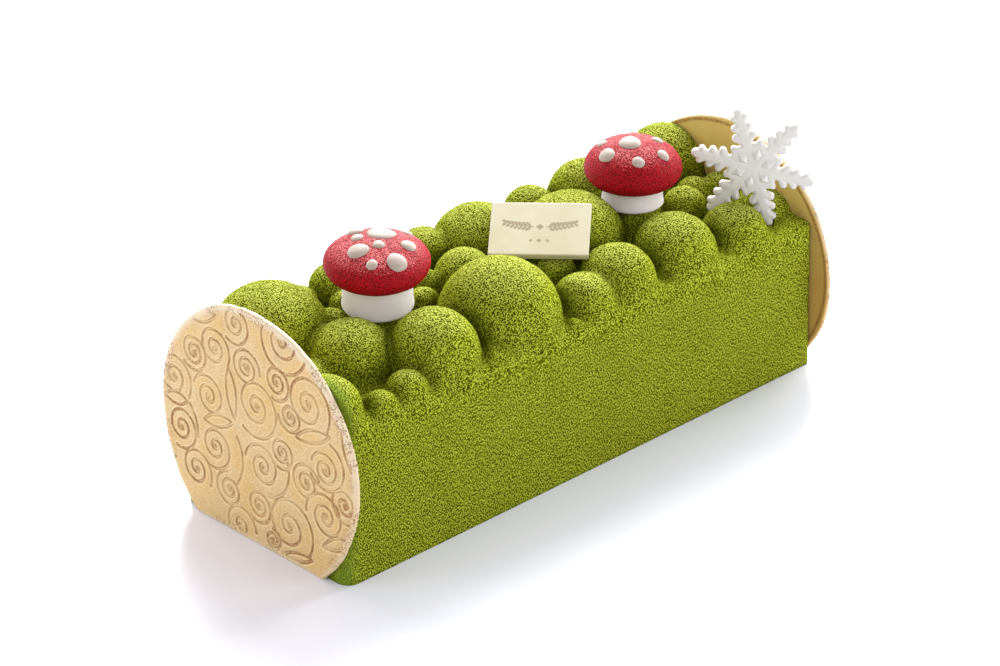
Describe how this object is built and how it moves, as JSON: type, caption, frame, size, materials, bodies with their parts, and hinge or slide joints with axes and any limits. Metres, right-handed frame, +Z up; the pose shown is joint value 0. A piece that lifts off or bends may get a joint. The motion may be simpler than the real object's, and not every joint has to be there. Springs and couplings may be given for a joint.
{
  "type": "yule log cake",
  "caption": "Mousse yule log with a domed green velvet top between embossed end discs, with toadstools, a tile and a snowflake on it.",
  "frame": {"origin": "centre of the flat base, on the table", "axes": "+X along the log from the near disc to the far disc, -Y the long side that is seen, +Z up"},
  "size_m": [0.2558, 0.1082, 0.1096],
  "materials": {
    "velvet": "green cocoa butter velvet spray on mousse, fine matt grain",
    "biscuit": "golden chocolate sheet with dusted scroll embossing",
    "sugar": "matt white sugar",
    "red_sugar": "crimson sugar with a fine grain and raised cream dots",
    "white_chocolate": "smooth satin white chocolate",
    "white_sugar": "smooth white moulded sugar"
  },
  "bodies": {
    "root": {"cake_log": "velvet", "end_disc_near": "biscuit", "end_disc_far": "biscuit", "toadstool_stem_near": "sugar", "toadstool_cap_near": "red_sugar", "toadstool_stem_far": "sugar", "toadstool_cap_far": "red_sugar", "chocolate_tile": "white_chocolate", "sugar_snowflake": "white_sugar"}
  },
  "joints": []
}
